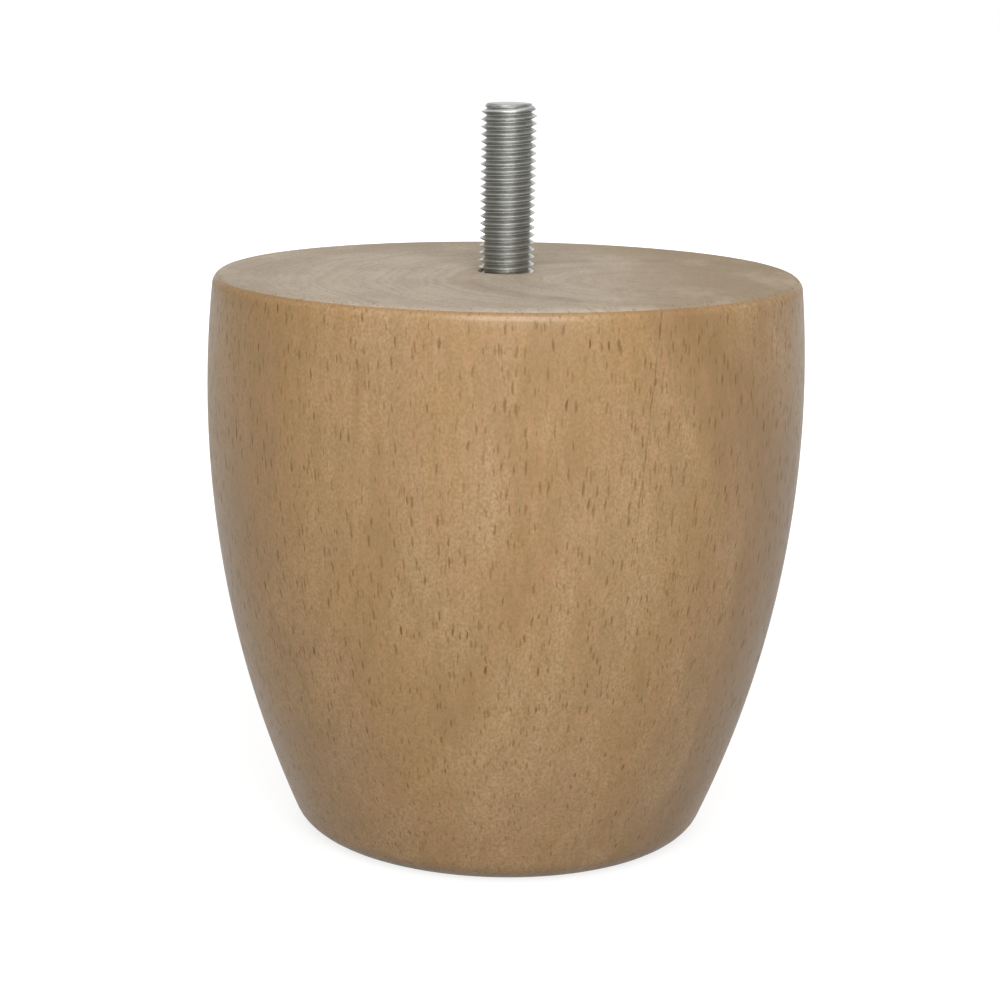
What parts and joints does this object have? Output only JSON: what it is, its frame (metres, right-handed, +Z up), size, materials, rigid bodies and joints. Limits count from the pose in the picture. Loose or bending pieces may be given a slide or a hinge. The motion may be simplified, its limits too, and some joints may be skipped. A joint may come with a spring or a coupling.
{
  "type": "wooden furniture leg",
  "caption": "Squat round turned wooden furniture leg, widest near the top and tapering to a flat foot, with a steel hanger bolt standing up from the centre of its top.",
  "frame": {"origin": "centre of the flat face that the leg stands on", "axes": "+Z up along the turning axis and the bolt; the leg is round, so +X is any direction across it"},
  "size_m": [0.0864, 0.0864, 0.1066],
  "materials": {
    "turned_wood": "satin clear finish over pale brown open-pored wood on the side, bare and greyer on the top and foot",
    "bolt_steel": "bright zinc plated, with a rolled thread"
  },
  "bodies": {
    "root": {"leg_body": "turned_wood", "hanger_bolt": "bolt_steel"}
  },
  "joints": []
}
